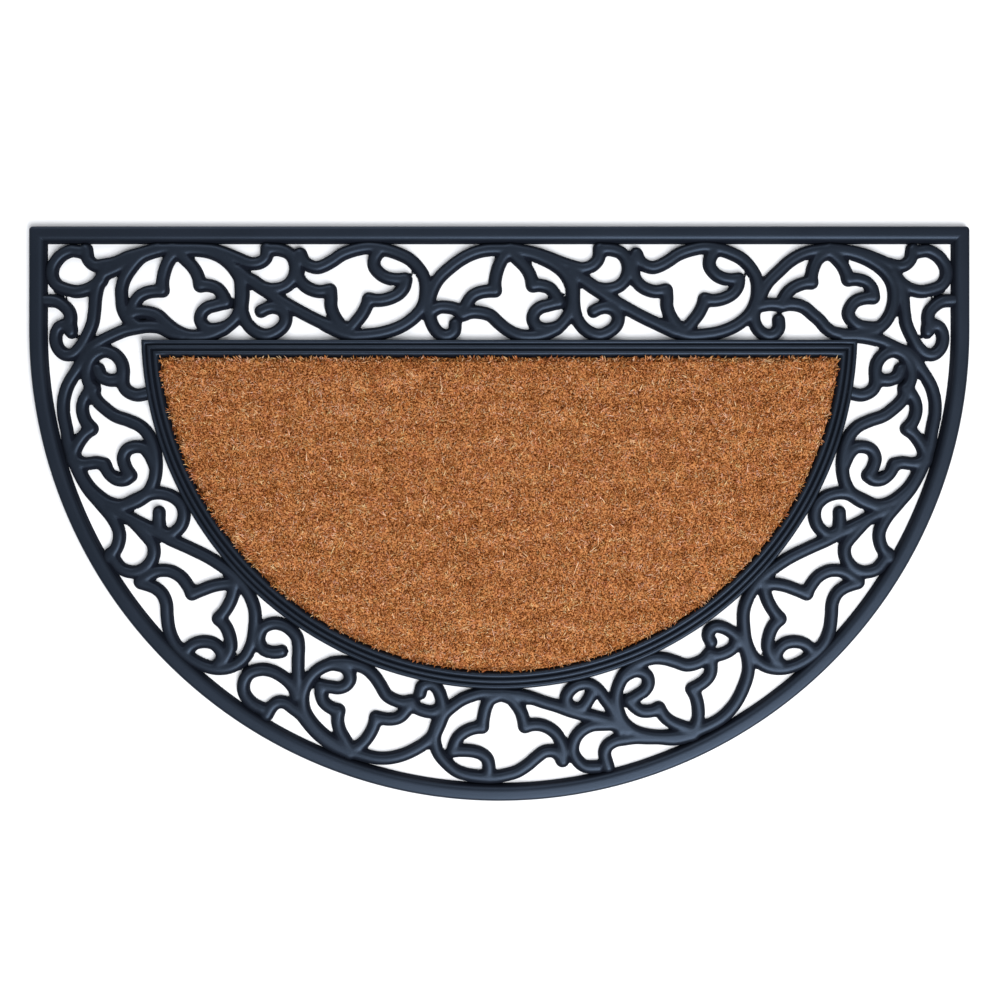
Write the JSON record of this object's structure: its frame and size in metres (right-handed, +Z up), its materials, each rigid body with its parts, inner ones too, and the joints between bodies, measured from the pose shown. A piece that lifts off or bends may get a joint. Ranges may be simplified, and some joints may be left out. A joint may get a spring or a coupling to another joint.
{
  "type": "half-round doormat",
  "caption": "Half-round doormat of moulded rubber with an open scrollwork border and a coir pile set in its middle.",
  "frame": {"origin": "on the ground under the middle of the mat's bounding box", "axes": "+X along the length to the right, +Y towards the straight edge, +Z up"},
  "size_m": [0.9144, 0.5588, 0.014],
  "materials": {
    "rubber": "satin moulded black rubber",
    "coir": "cut coir fibre pile, matt"
  },
  "bodies": {
    "root": {"rubber_mat": "rubber", "coir_pile": "coir"}
  },
  "joints": []
}
